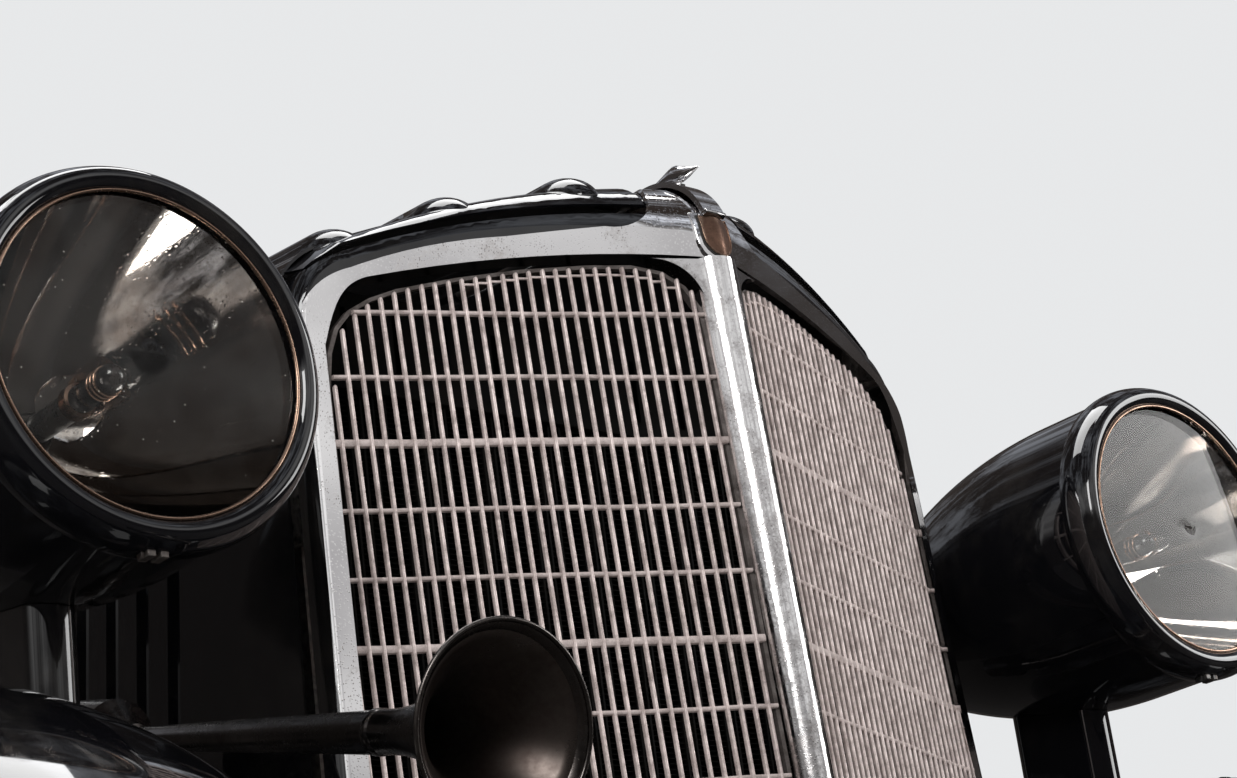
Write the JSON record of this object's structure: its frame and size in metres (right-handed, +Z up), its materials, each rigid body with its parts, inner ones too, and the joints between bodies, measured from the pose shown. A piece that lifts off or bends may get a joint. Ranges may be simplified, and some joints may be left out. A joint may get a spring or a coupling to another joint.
{
  "type": "vintage sedan front end",
  "caption": "Front end of a vintage sedan: V-shaped chrome grille in a painted shell, ribbed opening hood, bullet headlamps, trumpet horns and black fenders.",
  "frame": {"origin": "centre of the radiator cradle's underside, where it sits on the car's frame", "axes": "+X to the car's left, +Y to the rear, +Z up"},
  "size_m": [1.68, 1.3232, 0.9538],
  "materials": {
    "black_paint": "gloss",
    "chrome": "polished",
    "rib_chrome": "weathered",
    "grille_silver": "pitted",
    "dark_steel": "satin",
    "core_black": "matte",
    "lamp_glass": "clear",
    "mirror_bowl": "polished",
    "stem_black": "satin"
  },
  "bodies": {
    "front_end": {"catwalk_left": "black_paint", "catwalk_right": "black_paint", "centre_rib": "rib_chrome", "fender_left": "black_paint", "fender_right": "black_paint", "front_valance": "black_paint", "grille_left": "grille_silver", "grille_right": "grille_silver", "hinge_rod": "dark_steel", "horn_bracket_left": "black_paint", "horn_bracket_right": "black_paint", "horn_motor_left": "stem_black", "horn_motor_right": "stem_black", "horn_trumpet_left": "chrome", "horn_trumpet_right": "chrome", "lamp_bucket_left": "black_paint", "lamp_bucket_right": "black_paint", "lamp_bulb_left": "stem_black", "lamp_bulb_right": "stem_black", "lamp_lens_left": "lamp_glass", "lamp_lens_right": "lamp_glass", "lamp_pedestal_left": "black_paint", "lamp_pedestal_right": "black_paint", "lamp_reflector_left": "mirror_bowl", "lamp_reflector_right": "mirror_bowl", "lamp_rim_left": "chrome", "lamp_rim_right": "chrome", "nose_fin": "chrome", "nose_medallion": "chrome", "nose_moulding": "chrome", "radiator_core": "core_black", "radiator_cradle": "dark_steel", "radiator_surround": "chrome", "shell_band": "black_paint", "stay_rod_left": "dark_steel", "stay_rod_right": "dark_steel"},
    "hood_left": {"hood_top_left": "black_paint"},
    "hood_right": {"hood_top_right": "black_paint"},
    "side_left": {"hood_side_left": "black_paint", "hood_handle_left": "chrome"},
    "side_right": {"hood_side_right": "black_paint", "hood_handle_right": "chrome"}
  },
  "joints": [
    {"name": "hood_left_lift", "type": "hinge", "parent": "front_end", "child": "hood_left", "pos_m": [0, -0.118, 0.714], "axis": [0, -0.9965, -0.083], "range_deg": [0, 75]},
    {"name": "hood_right_lift", "type": "hinge", "parent": "front_end", "child": "hood_right", "pos_m": [0, -0.118, 0.714], "axis": [0, 0.9965, 0.083], "range_deg": [0, 75]},
    {"name": "side_left_fold", "type": "hinge", "parent": "hood_left", "child": "side_left", "pos_m": [0.287, -0.118, 0.582], "axis": [0.0791, 0.9949, 0.0627], "range_deg": [0, 63.75]},
    {"name": "side_right_fold", "type": "hinge", "parent": "hood_right", "child": "side_right", "pos_m": [-0.287, -0.118, 0.582], "axis": [0.0791, -0.9949, -0.0627], "range_deg": [0, 63.75]}
  ],
  "couplings": [
    {"joint": "side_left_fold", "follows": "hood_left_lift", "ratio": 0.85},
    {"joint": "side_right_fold", "follows": "hood_right_lift", "ratio": 0.85}
  ]
}
